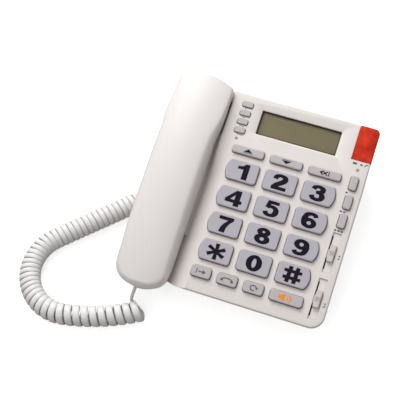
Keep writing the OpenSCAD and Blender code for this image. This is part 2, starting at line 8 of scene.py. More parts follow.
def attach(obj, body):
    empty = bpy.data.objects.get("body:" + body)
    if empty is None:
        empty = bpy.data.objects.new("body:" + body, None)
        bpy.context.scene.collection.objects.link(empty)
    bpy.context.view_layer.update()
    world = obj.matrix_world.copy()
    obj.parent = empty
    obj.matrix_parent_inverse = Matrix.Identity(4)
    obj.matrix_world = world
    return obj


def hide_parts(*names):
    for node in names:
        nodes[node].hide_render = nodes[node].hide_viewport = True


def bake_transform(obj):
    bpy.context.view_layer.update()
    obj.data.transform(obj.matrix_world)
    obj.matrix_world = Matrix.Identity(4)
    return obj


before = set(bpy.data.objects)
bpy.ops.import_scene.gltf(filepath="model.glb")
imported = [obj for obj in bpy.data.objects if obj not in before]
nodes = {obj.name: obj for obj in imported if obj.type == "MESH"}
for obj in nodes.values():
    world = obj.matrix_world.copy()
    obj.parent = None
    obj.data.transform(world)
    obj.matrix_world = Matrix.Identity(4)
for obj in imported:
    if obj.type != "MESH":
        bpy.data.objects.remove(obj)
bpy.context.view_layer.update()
MM = 0.001

# ------------------------------------------------------------------ the base's frame

TILT = radians(12)
BASE_W, BASE_D, FRONT_H = 196.0, 194.0, 28.0
SLOPE = BASE_D / cos(TILT)
WALL = 2.5
SEAM = 8.0
CRADLE_X = BASE_W / 2 - 172.5


def panel(x, s, h=0.0):
    """A point over the sloping panel: x across, s up the slope, h out of its face."""
    return Vector((x, -BASE_D / 2 + s * cos(TILT) - h * sin(TILT), FRONT_H + s * sin(TILT) + h * cos(TILT)))


# ------------------------------------------------------------------ materials


def new_material(name):
    m = bpy.data.materials.new(name)
    m.use_nodes = True
    t = m.node_tree
    return m, t.nodes, t.links, t.nodes["Principled BSDF"]


SHADE_TINT = (4.2, 5.4, 6.0)         # how strongly the painted crease shade darkens red, green and blue


def moulded(name, color, rough=0.38, tint=0.04, grain=0.05, grain_size=0.45, edge=0.5,
            specular=0.35, coat=0.0, crease_shade=0.08, subsurface=0.0):
    """Moulded plastic: faint colour drift, fine spark texture in the bump, softened edges
    and painted shade, driven by ambient occlusion, where faces meet."""
    m, n, l, b = new_material(name)
    co = n.new("ShaderNodeTexCoord")
    drift = n.new("ShaderNodeTexNoise")
    drift.inputs["Scale"].default_value = 22.0
    drift.inputs["Detail"].default_value = 3.0
    fine = n.new("ShaderNodeTexNoise")
    fine.inputs["Scale"].default_value = 1.0 / (grain_size * MM)
    fine.inputs["Detail"].default_value = 2.0
    for tex in (drift, fine):
        l.new(co.outputs["Object"], tex.inputs["Vector"])
    mix = n.new("ShaderNodeMix")
    mix.data_type = "RGBA"
    mix.inputs["A"].default_value = (*[c * (1 - tint) for c in color], 1)
    mix.inputs["B"].default_value = (*[min(1, c * (1 + tint * 0.6)) for c in color], 1)
    l.new(drift.outputs["Fac"], mix.inputs["Factor"])
    # painted shade: ambient occlusion darkens the colour in creases and where faces meet, least in red for a
    # warm tone
    ao = n.new("ShaderNodeAmbientOcclusion")
    ao.inputs["Distance"].default_value = 2.2 * MM
    ao.samples = 6
    shade_mix = n.new("ShaderNodeMix")
    shade_mix.data_type = "RGBA"
    shade_mix.inputs["A"].default_value = (*[c * (1 - k * crease_shade) for c, k in zip(color, SHADE_TINT)], 1)
    power = n.new("ShaderNodeMath")
    power.operation = "POWER"
    power.inputs[1].default_value = 0.7
    l.new(ao.outputs["AO"], power.inputs[0])
    l.new(power.outputs[0], shade_mix.inputs["Factor"])
    l.new(mix.outputs["Result"], shade_mix.inputs["B"])
    l.new(shade_mix.outputs["Result"], b.inputs["Base Color"])
    ramp = n.new("ShaderNodeMapRange")
    ramp.inputs["To Min"].default_value = rough - 0.05
    ramp.inputs["To Max"].default_value = rough + 0.07
    l.new(drift.outputs["Fac"], ramp.inputs["Value"])
    l.new(ramp.outputs["Result"], b.inputs["Roughness"])
    bevel = n.new("ShaderNodeBevel")
    bevel.samples = 4
    bevel.inputs["Radius"].default_value = edge * MM
    bump = n.new("ShaderNodeBump")
    bump.inputs["Strength"].default_value = grain
    bump.inputs["Distance"].default_value = 0.1 * MM
    l.new(fine.outputs["Fac"], bump.inputs["Height"])
    l.new(bevel.outputs["Normal"], bump.inputs["Normal"])
    l.new(bump.outputs["Normal"], b.inputs["Normal"])
    b.inputs["Specular IOR Level"].default_value = specular
    b.inputs["Coat Weight"].default_value = coat
    b.inputs["Coat Roughness"].default_value = 0.15
    if subsurface:
        b.inputs["Subsurface Weight"].default_value = subsurface
        b.inputs["Subsurface Radius"].default_value = (1.0, 0.7, 0.5)
        b.inputs["Subsurface Scale"].default_value = 1.5 * MM
    return m


def metal(name, color, rough=0.25, brushed=900.0):
    """Bare metal with fine directional scratches."""
    m, n, l, b = new_material(name)
    co = n.new("ShaderNodeTexCoord")
    scale = n.new("ShaderNodeMapping")
    scale.inputs["Scale"].default_value = (brushed, brushed * 0.05, brushed)
    tex = n.new("ShaderNodeTexNoise")
    tex.inputs["Scale"].default_value = 1.0
    l.new(co.outputs["Object"], scale.inputs["Vector"])
    l.new(scale.outputs["Vector"], tex.inputs["Vector"])
    ramp = n.new("ShaderNodeMapRange")
    ramp.inputs["To Min"].default_value = rough - 0.08
    ramp.inputs["To Max"].default_value = rough + 0.15
    l.new(tex.outputs["Fac"], ramp.inputs["Value"])
    l.new(ramp.outputs["Result"], b.inputs["Roughness"])
    bump = n.new("ShaderNodeBump")
    bump.inputs["Strength"].default_value = 0.08
    bump.inputs["Distance"].default_value = 0.05 * MM
    l.new(tex.outputs["Fac"], bump.inputs["Height"])
    l.new(bump.outputs["Normal"], b.inputs["Normal"])
    b.inputs["Base Color"].default_value = (*color, 1)
    b.inputs["Metallic"].default_value = 1.0
    return m


def clear(name, color, rough=0.06, weight=0.9):
    """Clear plastic with faint flow marks."""
    m, n, l, b = new_material(name)
    co = n.new("ShaderNodeTexCoord")
    tex = n.new("ShaderNodeTexNoise")
    tex.inputs["Scale"].default_value = 140.0
    l.new(co.outputs["Object"], tex.inputs["Vector"])
    bump = n.new("ShaderNodeBump")
    bump.inputs["Strength"].default_value = 0.03
    bump.inputs["Distance"].default_value = 0.1 * MM
    l.new(tex.outputs["Fac"], bump.inputs["Height"])
    l.new(bump.outputs["Normal"], b.inputs["Normal"])
    b.inputs["Base Color"].default_value = (*color, 1)
    b.inputs["Roughness"].default_value = rough
    b.inputs["Transmission Weight"].default_value = weight
    b.inputs["IOR"].default_value = 1.25
    return m


def red_lens(name):
    """Translucent red plastic with the diffuser's cells showing through."""
    m, n, l, b = new_material(name)
    co = n.new("ShaderNodeTexCoord")
    cells = n.new("ShaderNodeTexVoronoi")
    cells.inputs["Scale"].default_value = 330.0
    cloud = n.new("ShaderNodeTexNoise")
    cloud.inputs["Scale"].default_value = 90.0
    cloud.inputs["Detail"].default_value = 3.0
    for tex in (cells, cloud):
        l.new(co.outputs["Object"], tex.inputs["Vector"])
    ramp = n.new("ShaderNodeValToRGB")
    ramp.color_ramp.elements[0].position = 0.30
    ramp.color_ramp.elements[0].color = (0.50, 0.010, 0.001, 1)
    ramp.color_ramp.elements[1].position = 0.75
    ramp.color_ramp.elements[1].color = (0.92, 0.052, 0.008, 1)
    l.new(cloud.outputs["Fac"], ramp.inputs["Fac"])
    l.new(ramp.outputs["Color"], b.inputs["Base Color"])
    bump = n.new("ShaderNodeBump")
    bump.inputs["Strength"].default_value = 0.15
    bump.inputs["Distance"].default_value = 0.15 * MM
    l.new(cells.outputs["Distance"], bump.inputs["Height"])
    bevel = n.new("ShaderNodeBevel")
    bevel.inputs["Radius"].default_value = 0.6 * MM
    l.new(bevel.outputs["Normal"], bump.inputs["Normal"])
    l.new(bump.outputs["Normal"], b.inputs["Normal"])
    b.inputs["Roughness"].default_value = 0.3
    b.inputs["Specular IOR Level"].default_value = 0.25
    b.inputs["Transmission Weight"].default_value = 0.15
    b.inputs["Subsurface Weight"].default_value = 0.2
    b.inputs["Subsurface Radius"].default_value = (1.0, 0.1, 0.05)
    b.inputs["Subsurface Scale"].default_value = 2 * MM
    return m


def board_material(name):
    """Green circuit board with copper tracks under the mask."""
    m, n, l, b = new_material(name)
    co = n.new("ShaderNodeTexCoord")
    tex = n.new("ShaderNodeTexBrick")
    tex.inputs["Scale"].default_value = 120.0
    tex.inputs["Color1"].default_value = (0.012, 0.10, 0.035, 1)
    tex.inputs["Color2"].default_value = (0.016, 0.13, 0.05, 1)
    tex.inputs["Mortar"].default_value = (0.05, 0.20, 0.07, 1)
    l.new(co.outputs["Object"], tex.inputs["Vector"])
    l.new(tex.outputs["Color"], b.inputs["Base Color"])
    bump = n.new("ShaderNodeBump")
    bump.inputs["Strength"].default_value = 0.2
    bump.inputs["Distance"].default_value = 0.05 * MM
    l.new(tex.outputs["Fac"], bump.inputs["Height"])
    l.new(bump.outputs["Normal"], b.inputs["Normal"])
    b.inputs["Roughness"].default_value = 0.35
    return m


CASE = moulded("case_plastic", (0.79, 0.74, 0.715), rough=0.36, subsurface=0.04)
HANDSET = moulded("handset_plastic", (0.81, 0.77, 0.75), rough=0.36, subsurface=0.04, edge=0.8)
KEY = moulded("key_plastic", (0.475, 0.45, 0.495), rough=0.42, grain=0.12, grain_size=0.6, edge=0.35)
SMALL_KEY = moulded("small_key_plastic", (0.52, 0.485, 0.495), rough=0.42, grain=0.1, edge=0.3)
KNOB = moulded("knob_plastic", (0.66, 0.62, 0.62), rough=0.42, grain=0.1, edge=0.3, crease_shade=0.05)
INK = moulded("dark_ink", (0.010, 0.008, 0.018), rough=0.7, tint=0.2, grain=0.15, edge=0.05, crease_shade=0.0,
              specular=0.12)
GREY_INK = moulded("grey_ink", (0.12, 0.11, 0.11), rough=0.55, tint=0.2, grain=0.15, edge=0.05, crease_shade=0.0)
ORANGE_INK = moulded("orange_ink", (0.90, 0.30, 0.02), rough=0.5, tint=0.1, grain=0.1, edge=0.05, crease_shade=0.0)
LCD = moulded("display_film", (0.435, 0.43, 0.26), rough=0.3, tint=0.05, grain=0.04, edge=0.1, crease_shade=0.1)
BLACK = moulded("black_plastic", (0.02, 0.02, 0.022), rough=0.45, tint=0.15)
RUBBER = moulded("foot_rubber", (0.035, 0.035, 0.037), rough=0.75, tint=0.15, grain=0.3, specular=0.25)
SILICONE = moulded("silicone_mat", (0.68, 0.68, 0.66), rough=0.6, grain=0.1, subsurface=0.1)
# the cord gets stronger painted shade, which darkens the gaps between its turns
CORD = moulded("cord_vinyl", (0.84, 0.83, 0.825), rough=0.34, tint=0.05, grain=0.08, edge=0.1, crease_shade=0.18,
               subsurface=0.05)
STEEL = metal("bright_steel", (0.62, 0.62, 0.64))
CELL = moulded("cell_sleeve", (0.05, 0.06, 0.08), rough=0.3, tint=0.3)
CLEAR = clear("clear_plastic", (0.93, 0.95, 0.94))
WINDOW = clear("display_window_plastic", (0.97, 0.98, 0.96), rough=0.03, weight=1.0)
LENS = red_lens("red_lens_plastic")
BOARD = board_material("circuit_board")
LED = moulded("led_epoxy", (0.42, 0.33, 0.29), rough=0.2, coat=0.5, edge=0.2)

for names, material in (
    (("lower_shell", "battery_door", "hook_plunger"), CASE),
    (("main_board",), BOARD),
    (("key_membrane",), SILICONE),
    (("lcd_panel",), LCD),
    (("status_lights", "indicator_led"), LED),
    (("loudspeaker", "line_jack", "handset_jack", "hook_switch", "slide_pots", "handset_socket",
      "receiver_capsule"), BLACK),
    (("handsfree_mic", "housing_screws", "board_screws", "battery_contacts", "handset_ballast",
      "microphone_capsule", "handset_screws"), STEEL),
    (("rubber_feet",), RUBBER),
    (("batteries",), CELL),
    (("base_plug", "handset_plug"), CLEAR),
    (("handset_inner_shell",), HANDSET),
):
    for name in names:
        data = nodes[name].data
        data.materials.clear()
        data.materials.append(material)

# ------------------------------------------------------------------ mesh helpers


def make(name, verts, faces, material, smooth=True):
    """A mesh object from points in millimetres."""
    mesh = bpy.data.meshes.new(name)
    mesh.from_pydata([Vector(v) * MM for v in verts], [], faces)
    obj = bpy.data.objects.new(name, mesh)
    bpy.context.scene.collection.objects.link(obj)
    bm = bmesh.new()
    bm.from_mesh(mesh)
    bmesh.ops.recalc_face_normals(bm, faces=bm.faces)
    bm.to_mesh(mesh)
    bm.free()
    if material:
        mesh.materials.append(material)
    if smooth:
        mesh.shade_smooth()
    return obj


def loft(rings, closed=False):
    """Points and faces of a skin over rings of equal length, capped unless closed on itself."""
    n = len(rings[0])
    verts = [p for ring in rings for p in ring]
    faces = []
    m = len(rings)
    for i in range(m if closed else m - 1):
        a, b = i * n, (i + 1) % m * n
        faces += [(a + j, a + (j + 1) % n, b + (j + 1) % n, b + j) for j in range(n)]
    if not closed:
        faces += [tuple(range(n)), tuple(range((m - 1) * n, m * n))]
    return verts, faces


def arc(cx, cy, r, a0, a1, n):
    return [(cx + r * cos(radians(a0 + (a1 - a0) * i / n)), cy + r * sin(radians(a0 + (a1 - a0) * i / n)))
            for i in range(n + 1)]


def box_outline(x0, x1, y0, y1, radii, inset=0.0, n=10):
    """Rounded rectangle, anticlockwise from the front right corner."""
    x0, x1, y0, y1 = x0 + inset, x1 - inset, y0 + inset, y1 - inset
    r = [max(v - inset, 0.3) for v in radii]
    return (arc(x1 - r[0], y0 + r[0], r[0], -90, 0, n) + arc(x1 - r[1], y1 - r[1], r[1], 0, 90, n)
            + arc(x0 + r[2], y1 - r[2], r[2], 90, 180, n) + arc(x0 + r[3], y0 + r[3], r[3], 180, 270, n))


def bulged_outline(w, h, side, r=3.0, big=17.0, small=2.2):
    """Key outline whose left (-1) or right (1) side is an arc. Anticlockwise, centred on the origin."""
    half, c = h / 2, w / 2 - big
    # the small corner circles touch the key's long edges and the big arc from inside
    cy = half - small
    cx = c + sqrt((big - small) ** 2 - cy * cy)
    a = degrees(atan2(cy, cx - c))
    pts = arc(cx, -cy, small, -90, -a, 5)[:-1] + arc(c, 0, big, -a, a, 14) + arc(cx, cy, small, a, 90, 5)[1:]
    pts += arc(-w / 2 + r, half - r, r, 90, 180, 6) + arc(-w / 2 + r, -half + r, r, 180, 270, 6)
    return pts if side > 0 else [(-x, y) for x, y in reversed(pts)]


def key_outline(w, h, side=0, r=3.0):
    if side:
        return bulged_outline(w, h, side, r)
    return box_outline(-w / 2, w / 2, -h / 2, h / 2, [r] * 4, 0.0, 6)


def inset_points(points, d):
    """Moves each point of a convex anticlockwise outline inwards by d."""
    out, n = [], len(points)
    for i in range(n):
        a, b, c = Vector(points[i - 1]), Vector(points[i]), Vector(points[(i + 1) % n])
        u, v = (b - a).normalized(), (c - b).normalized()
        nu, nv = Vector((-u.y, u.x)), Vector((-v.y, v.x))
        m = nu + nv
        m = m / max(m.length_squared / 2, 0.6)
        out.append(tuple(b + m * d))
    return out


def on_panel(points, h, at=(0.0, 0.0)):
    return [panel(at[0] + p[0], at[1] + p[1], h) for p in points]


def prism(points, h0, h1, at=(0.0, 0.0), grow=0.0):
    """Rings of a straight cutter through the panel."""
    pts = inset_points(points, -grow) if grow else points
    return [on_panel(pts, h0, at), on_panel(pts, h1, at)]


def join(parts):
    """Merges several (verts, faces) into one."""
    verts, faces = [], []
    for v, f in parts:
        k = len(verts)
        verts += v
        faces += [tuple(i + k for i in face) for face in f]
    return verts, faces


SOLVERS = [i.identifier for i in bpy.types.BooleanModifier.bl_rna.properties["solver"].enum_items]


def cut(obj, verts, faces, operation="DIFFERENCE"):
    """Boolean with a throwaway cutter. The result replaces the object's mesh."""
    cutter = make("cutter", verts, faces, None, smooth=False)
    mod = obj.modifiers.new("cut", "BOOLEAN")
    mod.operation = operation
    mod.solver = "MANIFOLD" if "MANIFOLD" in SOLVERS else "EXACT"
    mod.object = cutter
    bpy.context.view_layer.update()
    dg = bpy.context.evaluated_depsgraph_get()
    result = bpy.data.meshes.new_from_object(obj.evaluated_get(dg))
    obj.modifiers.remove(mod)
    old = obj.data
    if len(result.polygons):
        obj.data = result
        bpy.data.meshes.remove(old)
    else:
        print("EMPTY RESULT", obj.name, operation)
    bpy.data.objects.remove(cutter)
    return obj


def smooth_by_angle(obj, angle=32):
    mesh = obj.data
    mesh.shade_smooth()
    bm = bmesh.new()
    bm.from_mesh(mesh)
    limit = radians(angle)
    for e in bm.edges:
        if len(e.link_faces) == 2:
            e.smooth = e.calc_face_angle(0) < limit
    bm.to_mesh(mesh)
    bm.free()


def finish_piece(obj, body, slot, *replaced, round_mm=0.0, angle=32):
    """Rounds sharp edges, smooths the rest, and ties the piece to its body."""
    smooth_by_angle(obj, angle)
    if round_mm:
        mod = obj.modifiers.new("rounded edges", "BEVEL")
        mod.width = round_mm * MM
        mod.segments = 2
        mod.limit_method = "ANGLE"
        mod.angle_limit = radians(angle)
        mod.use_clamp_overlap = True
        mod.harden_normals = False
    if replaced:
        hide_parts(*replaced)
    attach(obj, body)
    return obj


# ------------------------------------------------------------------ base shells

TOP_R = [13, 5, 8, 14]          # corner radii: front right, back right, back left, front left
LOW = (-BASE_W / 2 + 9, BASE_W / 2 - 9, -BASE_D / 2 + 13, BASE_D / 2 - 6)
RIM = 4.0                       # depth of the upright edge round the panel
MID_Z = 16.0                    # height of a ring between that edge and the seam


def base_rings(t=0.0, top_round=1.8):
    """Rings of the base's outer form drawn in by t, from the panel down to the seam, and a
    function that gives the ring at any height."""
    n, steps = 12, 5
    rings = []
    for i in range(steps + 1):
        a = pi / 2 * i / steps
        inset, h = top_round * (1 - sin(a)), -top_round * (1 - cos(a))
        pts = box_outline(-BASE_W / 2, BASE_W / 2, 0, SLOPE, TOP_R, t + inset, n)
        rings.append(on_panel(pts, h - t))
    rim = on_panel(box_outline(-BASE_W / 2, BASE_W / 2, 0, SLOPE, TOP_R, t, n), -RIM - t)
    low = box_outline(*LOW, [12] * 4, t, n)
    low = [Vector((x, y, 0.5)) for x, y in low]
    rings.append(rim)

    def at_z(z):
        return [a.lerp(b, (a.z - z) / (a.z - b.z)) for a, b in zip(rim, low)]

    rings += [at_z(MID_Z), at_z(SEAM)]
    return rings, at_z


def soft_min(v, k=0.55):
    """Like min(v, 0), but rounded where the two meet."""
    u = -v / k
    return -k * (u if u > 30 else log(1 + exp(u)))


EAR_WALL = CRADLE_X + 28.8      # wall beside the earpiece
EAR_PINCH = 1.9                 # how far that wall closes in behind the earpiece
ROLL_END = (108, 152)           # between these the roll turns into the wall
ROLL_C, ROLL_R = Vector((CRADLE_X + 56, -37.0)), 39.4
FLOOR_DEEP, FRONT_DEEP, EAR_DEEP = 11.0, 16.2, 22.2     # cradle under grip, mouthpiece, earpiece
FRONT_L = 50                    # length of the mouthpiece's part of the cradle


def cradle_profile(depth, tight, wall=EAR_WALL):
    """Section through the cradle, x and h, from the panel's face down to the floor.
    tight turns the broad roll of the panel's edge into a wall beside the earpiece."""
    cx, cy, r = ROLL_C.x, ROLL_C.y, ROLL_R
    n, edge = 44, 1.4
    foot = cx - sqrt(r * r - (-cy - depth) ** 2)
    out = []
    for i in range(n + 1):
        u = i / n
        a = radians(96 + (170 - 96) * u)
        x = cx + r * cos(a)
        x = max(x, foot)
        h = soft_min(cy + r * sin(a)) if x > foot else -depth
        h = max(h, -depth)
        if u < 0.45:
            tx, th = -24 + (wall + edge + 24) * u / 0.45, 0.0
        elif u < 0.7:
            b = radians(90 + 90 * (u - 0.45) / 0.25)
            tx, th = wall + edge + edge * cos(b), -edge + edge * sin(b)
        else:
            tx, th = wall, -edge - (depth - edge) * (u - 0.7) / 0.3
        out.append(Vector((x + (tx - x) * tight, h + (th - h) * tight)))
    return out


def even(points, n):
    """n points at equal steps along a polyline."""
    marks = [0.0]
    for a, b in zip(points, points[1:]):
        marks.append(marks[-1] + (b - a).length)
    out, j = [], 0
    for i in range(n):
        d = marks[-1] * i / (n - 1)
        while j < len(marks) - 2 and marks[j + 1] < d:
            j += 1
        out.append(points[j].lerp(points[j + 1], (d - marks[j]) / max(marks[j + 1] - marks[j], 1e-9)))
    return out


def strip(depth, s0, s1, grow=0.0):
    """Cutter for the cradle's space, grown by grow into the shell."""
    stops = [s for s in list(range(ROLL_END[0], ROLL_END[1] + 3, 3)) + list(range(189, 196)) if s0 < s < s1]
    stops = [s0] + stops + [s1]
    rings = []
    for s in stops:
        t = min(max((s - ROLL_END[0]) / (ROLL_END[1] - ROLL_END[0]), 0.0), 1.0)
        # the wall closes in behind the earpiece, where the handset's corner is rounded
        e = min(max((s - 189) / 5, 0.0), 1.0)
        pts = even(cradle_profile(depth, t * t * (3 - 2 * t), EAR_WALL - EAR_PINCH * e * e * (3 - 2 * e)), 60)
        if grow:
            moved = []
            for i, p in enumerate(pts):
                d = (pts[min(i + 1, 59)] - pts[max(i - 1, 0)]).normalized()
                moved.append(p + Vector((-d.y, d.x)) * grow)
            pts = moved
        ring_ = [panel(p.x, s, p.y + 0.012) for p in pts]
        ring_ += [panel(-130.0, s, -depth - grow), panel(-130.0, s, 45.0), panel(pts[0].x, s, 45.0)]
        rings.append(ring_)
    return loft(rings)


def block(x0, x1, s0, s1, h0, h1, r=1.0):
    pts = box_outline(x0, x1, s0, s1, [r] * 4, 0.0, 4)
    return loft([on_panel(pts, h0), on_panel(pts, h1)])


def world_block(x0, x1, y0, y1, z0, z1):
    pts = [(x0, y0), (x1, y0), (x1, y1), (x0, y1)]
    return loft([[Vector((x, y, z0)) for x, y in pts], [Vector((x, y, z1)) for x, y in pts]])


# keys on the panel: name, x, s, width, height, corner radius, bulged side
COL = [22.2 + i * 37.5 for i in (-1, 0, 1)]
ROW = [41.1 + i * 26.8 for i in range(4)]
NUMBER_KEYS = [("key_star", 0, 0), ("key_0", 1, 0), ("key_hash", 2, 0), ("key_7", 0, 1), ("key_8", 1, 1),
               ("key_9", 2, 1), ("key_4", 0, 2), ("key_5", 1, 2), ("key_6", 2, 2), ("key_1", 0, 3),
               ("key_2", 1, 3), ("key_3", 2, 3)]
KEYS = [(name, COL[c], ROW[r], 31.0, 19.5, 3.0, c - 1) for name, c, r in NUMBER_KEYS]
KEYS += [(name, COL[i], 142.0, 31.0, 7.6, 2.0, 0)
         for i, name in enumerate(("key_up", "key_down", "key_delete"))]
KEYS += [(name, x, 19.1, 19.0, 10.2, 2.5, 0)
         for name, x in (("key_out", -22.0), ("key_flash", 3.3), ("key_redial", 28.5))]
KEYS += [("key_speaker", COL[2], 19.1, 31.0, 10.2, 2.5, 0)]
KEYS += [(f"memory_key_{i + 1}", 87.7, s, 7.2, 13.6, 2.0, 0) for i, s in enumerate((140.4, 121.6, 102.8))]
KEYS += [(f"menu_key_{i + 1}", -30.0, s, 10.2, 4.8, 1.2, 0)
         for i, s in enumerate((187.2, 178.3, 169.5, 160.6))]
SLOTS = [("volume_slider", 72.0, 71.0), ("ringer_slider", 27.4, 27.0)]
SLOT_X = 87.0
LENS_AT = (78.6, 163.2, 14.0)

# upper shell
outer = base_rings()[0]
shell = make("upper_case", *loft(outer), CASE)
inner, inner_at = base_rings(WALL, 0.6)
inner = inner[:-1] + [inner_at(SEAM - 3)]
core = make("core", *loft(inner), None, smooth=False)
cut(core, *strip(FLOOR_DEEP, -40, SLOPE + 40, WALL))
cut(core, *strip(FRONT_DEEP, -40, FRONT_L + WALL, WALL))
WELL = (CRADLE_X - 18.9, CRADLE_X + 19.5, 150.0, 193.5)
# the well's back steps forward with depth, as the base's back wall leans in: s and h of each step
WELL_STEPS = ((193.5, -13.2), (192.6, -16.0), (191.2, -19.0), (189.8, -EAR_DEEP))
SLIT = (CRADLE_X, EAR_WALL, 156.0, 188.5)
for x0, x1, s0, s1 in (WELL, SLIT):
    cut(core, *block(x0 - WALL, x1 + WALL, s0 - WALL, s1 + WALL, -EAR_DEEP - WALL, 30))
cut(shell, [v.co / MM for v in core.data.vertices], [tuple(p.vertices) for p in core.data.polygons])
bpy.data.objects.remove(core)
cut(shell, *strip(FLOOR_DEEP, -30, SLOPE + 30))
cut(shell, *strip(FRONT_DEEP, -31, FRONT_L))
for s1, low in WELL_STEPS:
    cut(shell, *block(*WELL[:3], s1, low, 20))
cut(shell, *block(*SLIT, -EAR_DEEP, 20))
holes = [loft(prism(key_outline(w, h, side, r), -9, 6, (x, s), 0.55)) for _, x, s, w, h, r, side in KEYS]
holes += [block(SLOT_X - 3.9, SLOT_X - 2.7, s - 16.4, s + 16.4, -6, 6, 0.3) for _, s, _ in SLOTS]
holes += [block(CRADLE_X - 5, CRADLE_X + 5, 119.5, 136.5, -18, -5, 2.0)]
cut(shell, *join(holes))
cut(shell, *join([block(SLOT_X - 4.1, SLOT_X + 4.1, s - 19.4, s + 19.4, -1.4, 6, 0.8) for _, s, _ in SLOTS]))
bezel = [on_panel(box_outline(-19.3, 67.9, 160.3, 192.2, [3] * 4, 0, 6), 2.0),
         on_panel(box_outline(-19.3, 67.9, 160.3, 192.2, [3] * 4, 0, 6), 0.0),
         on_panel(box_outline(-15.0, 63.6, 162.2, 186.8, [0.8] * 4, 0, 6), -1.7),
         on_panel(box_outline(-15.0, 63.6, 162.2, 186.8, [0.8] * 4, 0, 6), -6.0)]
cut(shell, *loft(bezel))
cut(shell, *block(LENS_AT[0], 140, LENS_AT[1], 240, -LENS_AT[2], 30, 0.4))
dots = []
for x, s in ((-30.8, 152.4), (87.7, 154.2)):
    ring = arc(0, 0, 1.5, 0, 345, 23)
    dots.append(loft([on_panel(ring, -8, (x, s)), on_panel(ring, 4, (x, s))]))
dots += [world_block(-103, -73, 4.6, 15.4, 11.1, 19.9), world_block(-27, -13, 72, 112, 13, 25)]
cut(shell, *join(dots))
finish_piece(shell, "base", "case", "upper_shell", round_mm=0.35)

# red indicator lens
lens = make("indicator_cap", *loft(outer), LENS)
inner2, inner2_at = base_rings(2.0, 0.6)
cut(lens, *loft(inner2[:-1] + [inner2_at(SEAM - 3)]))
g = 0.25
cut(lens, *block(LENS_AT[0] + g, 140, LENS_AT[1] + g, 240, -LENS_AT[2] + g, 30, 1.0), operation="INTERSECT")
finish_piece(lens, "base", "lens", "indicator_lens", round_mm=0.45)

# clear window over the display
pts = box_outline(-16.5, 65.1, 161.0, 188.0, [1] * 4, 0, 4)
rings = [on_panel(pts, -3.5), on_panel(pts, -2.75), on_panel(inset_points(pts, 0.2), -2.6)]
window = make("display_cover", *loft(rings), WINDOW)
finish_piece(window, "base", "window", "display_window")

# ------------------------------------------------------------------ keys and sliders


def key_cap(x, s, w, h, r, side, rise, foot, lip):
    """A key: lip behind the panel, straight sides, and a top with a soft edge and a flat middle."""
    pts = key_outline(w, h, side, r)
    soft = 0.9 if h > 6 else 0.6
    wide = inset_points(pts, -lip)
    rings = [on_panel(wide, -foot, (x, s)), on_panel(wide, -foot + 1.5, (x, s)),
             on_panel(pts, -foot + 1.6, (x, s)), on_panel(pts, rise - soft - 0.3, (x, s)),
             on_panel(pts, rise - soft, (x, s))]
    for i in range(1, 6):
        a = pi / 2 * i / 5
        rings.append(on_panel(inset_points(pts, soft * (1 - cos(a))), rise - soft * (1 - sin(a)), (x, s)))
    rings.append(on_panel(inset_points(pts, soft + 0.35), rise, (x, s)))
    return loft(rings)


KEY_TOP = 3.2
for name, x, s, w, h, r, side in KEYS:
    rise, foot, lip = (1.6, 5.4, 0.0) if name.startswith("menu") else (KEY_TOP, 5.0, 1.2)
    skin_ = key_cap(x, s, w, h, r, side, rise, foot, lip)
    cap = make(name + "_cap", *skin_, KEY if h > 15 else SMALL_KEY)
    finish_piece(cap, name, "key", name, angle=50)

for name, _, s in SLOTS:
    pts = box_outline(-3, 3, -7.8, 7.8, [0.8] * 4, 0, 4)
    rings = [on_panel(pts, -1.3, (SLOT_X, s)), on_panel(pts, 1.3, (SLOT_X, s)),
             on_panel([(x * 0.94 - 0.1, y * 0.985) for x, y in pts], 2.0, (SLOT_X, s)),
             on_panel([(x * 0.80 - 0.3, y * 0.96) for x, y in pts], 2.4, (SLOT_X, s)),
             on_panel([(x * 0.70 - 0.3, y * 0.94) for x, y in pts], 2.4, (SLOT_X, s))]
    parts = [loft(rings), block(SLOT_X - 3.8, SLOT_X - 0.8, s - 4, s + 4, -1.3, -0.5, 0.2),
             block(SLOT_X - 3.7, SLOT_X - 2.9, s - 4, s + 4, -8.1, -0.6, 0.1)]
    parts += [block(SLOT_X - 2.3, SLOT_X + 1.9, s + k - 0.2, s + k + 0.2, 2.2, 2.6, 0.15)
              for k in (-1.5, 0, 1.5)]
    knob = make(name + "_knob", *join(parts), KNOB)
    finish_piece(knob, name, "key", name, angle=50)

# ------------------------------------------------------------------ legends


def smooth_path(points, per=8):
    """Catmull-Rom through (x, y, width) points."""
    pts = [Vector(p) for p in points]
    pts = [2 * pts[0] - pts[1]] + pts + [2 * pts[-1] - pts[-2]]
    out = []
    for i in range(1, len(pts) - 2):
        p0, p1, p2, p3 = pts[i - 1:i + 3]
        for k in range(per):
            t = k / per
            out.append(0.5 * ((2 * p1) + (p2 - p0) * t + (2 * p0 - 5 * p1 + 4 * p2 - p3) * t * t
                              + (3 * p1 - p0 - 3 * p2 + p3) * t ** 3))
    out.append(pts[-2])
    return out


def stroke(points, per=8):
    """A ribbon of quads along a path of (x, y, width)."""
    path = smooth_path(points, per) if per > 1 else [Vector(p) for p in points]
    left, right = [], []
    for i, p in enumerate(path):
        a = path[max(i - 1, 0)]
        b = path[min(i + 1, len(path) - 1)]
        d = Vector((b.x - a.x, b.y - a.y)).normalized()
        nrm = Vector((-d.y, d.x)) * p.z / 2
        left.append((p.x + nrm.x, p.y + nrm.y))
        right.append((p.x - nrm.x, p.y - nrm.y))
    return [[left[i], right[i], right[i + 1], left[i + 1]] for i in range(len(path) - 1)]


